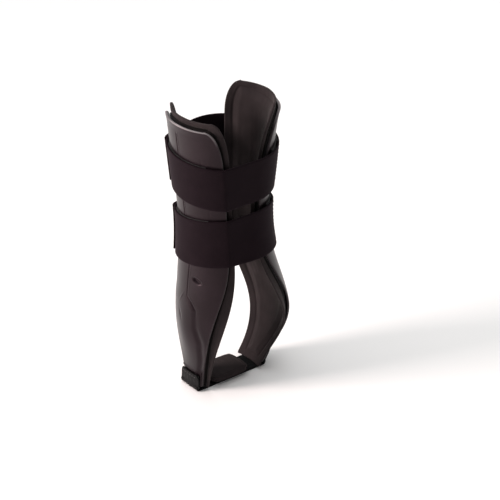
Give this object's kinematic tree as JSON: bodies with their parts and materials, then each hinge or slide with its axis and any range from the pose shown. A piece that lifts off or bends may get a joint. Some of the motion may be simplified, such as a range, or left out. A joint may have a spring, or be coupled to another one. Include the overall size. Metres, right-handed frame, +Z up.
{
  "type": "ankle foot orthosis",
  "caption": "Stirrup ankle brace: two padded contoured side shells hinged on a heel strap, closed by wrap-around hook-and-loop straps.",
  "frame": {"origin": "middle of the heel strap's underside, which the brace stands on", "axes": "+Z up the leg, -Y towards the toes, -X towards the outer (lateral) side of a right ankle"},
  "size_m": [0.102, 0.0847, 0.258],
  "materials": {
    "shell": "satin moulded",
    "foam": "closed-cell foam",
    "lining": "brushed knit",
    "backing": "brushed loop",
    "webbing": "matte laminate",
    "hook": "hook tape",
    "loop": "loop tape"
  },
  "bodies": {
    "heel": {"heel_strap_base": "webbing", "heel_pad_hook": "hook", "heel_pad_foam": "foam", "heel_pad_lining": "lining"},
    "lateral_side": {"lateral_shell": "shell", "lateral_pad_backing": "backing", "lateral_pad_foam": "foam", "lateral_pad_lining": "lining", "lateral_lower_pad_hook": "hook", "lateral_middle_pad_hook": "hook", "lateral_upper_pad_hook": "hook", "lateral_heel_hook": "hook", "upper_strap_band": "webbing", "upper_strap_anchor_hook": "hook", "lower_strap_band": "webbing", "lower_strap_anchor_hook": "hook"},
    "medial_side": {"medial_shell": "shell", "medial_pad_backing": "backing", "medial_pad_foam": "foam", "medial_pad_lining": "lining", "medial_lower_pad_hook": "hook", "medial_middle_pad_hook": "hook", "medial_upper_pad_hook": "hook", "medial_heel_hook": "hook", "upper_strap_medial_patch": "loop", "lower_strap_medial_patch": "loop"},
    "upper_front_tail": {"upper_strap_front": "webbing"},
    "upper_front_tab": {"upper_strap_tab": "webbing", "upper_strap_tab_hook": "hook"},
    "upper_rear_tail": {"upper_strap_rear": "webbing", "upper_strap_rear_hook": "hook"},
    "lower_front_tail": {"lower_strap_front": "webbing"},
    "lower_front_tab": {"lower_strap_tab": "webbing", "lower_strap_tab_hook": "hook"},
    "lower_rear_tail": {"lower_strap_rear": "webbing", "lower_strap_rear_hook": "hook"},
    "lateral_heel_tab": {"lateral_heel_tab": "webbing"},
    "medial_heel_tab": {"medial_heel_tab": "webbing"}
  },
  "joints": [
    {"name": "lateral_side_open", "type": "hinge", "parent": "heel", "child": "lateral_side", "pos_m": [-0.0349, 0, 0.002], "axis": [0, -1, 0], "range_deg": [0, 7]},
    {"name": "medial_side_open", "type": "hinge", "parent": "heel", "child": "medial_side", "pos_m": [0.0371, 0, 0.002], "axis": [0, 1, 0], "range_deg": [0, 7]},
    {"name": "upper_front_open", "type": "hinge", "parent": "lateral_side", "child": "upper_front_tail", "pos_m": [-0.02444, -0.03959, 0.203], "axis": [0.0496, 0.0162, -0.9986], "range_deg": [0, 98]},
    {"name": "upper_rear_open", "type": "hinge", "parent": "lateral_side", "child": "upper_rear_tail", "pos_m": [-0.02488, 0.03329, 0.203], "axis": [-0.0275, 0.0383, 0.9989], "range_deg": [0, 98]},
    {"name": "upper_tab_peel", "type": "hinge", "parent": "upper_front_tail", "child": "upper_front_tab", "pos_m": [0.03832, -0.02583, 0.203], "axis": [-0.0862, 0.0425, -0.9954], "range_deg": [0, 80]},
    {"name": "lower_front_open", "type": "hinge", "parent": "lateral_side", "child": "lower_front_tail", "pos_m": [-0.02049, -0.03905, 0.146], "axis": [-0.0007, -0.0131, -0.9999], "range_deg": [0, 98]},
    {"name": "lower_rear_open", "type": "hinge", "parent": "lateral_side", "child": "lower_rear_tail", "pos_m": [-0.02511, 0.0279, 0.146], "axis": [0.0212, 0.0257, 0.9994], "range_deg": [0, 98]},
    {"name": "lower_tab_peel", "type": "hinge", "parent": "lower_front_tail", "child": "lower_front_tab", "pos_m": [0.03362, -0.02737, 0.146], "axis": [0.0243, -0.1031, -0.9944], "range_deg": [0, 80]},
    {"name": "lateral_heel_tab_peel", "type": "hinge", "parent": "lateral_side", "child": "lateral_heel_tab", "pos_m": [-0.0361, 0, 0.0022], "axis": [0, -1, 0], "range_deg": [0, 80]},
    {"name": "medial_heel_tab_peel", "type": "hinge", "parent": "medial_side", "child": "medial_heel_tab", "pos_m": [0.0387, 0, 0.0022], "axis": [0, 1, 0], "range_deg": [0, 80]}
  ],
  "couplings": [
    {"joint": "medial_side_open", "follows": "lateral_side_open", "ratio": 1},
    {"joint": "upper_front_open", "follows": "lateral_side_open", "ratio": 14},
    {"joint": "upper_rear_open", "follows": "lateral_side_open", "ratio": 14},
    {"joint": "lower_front_open", "follows": "lateral_side_open", "ratio": 14},
    {"joint": "lower_rear_open", "follows": "lateral_side_open", "ratio": 14}
  ]
}
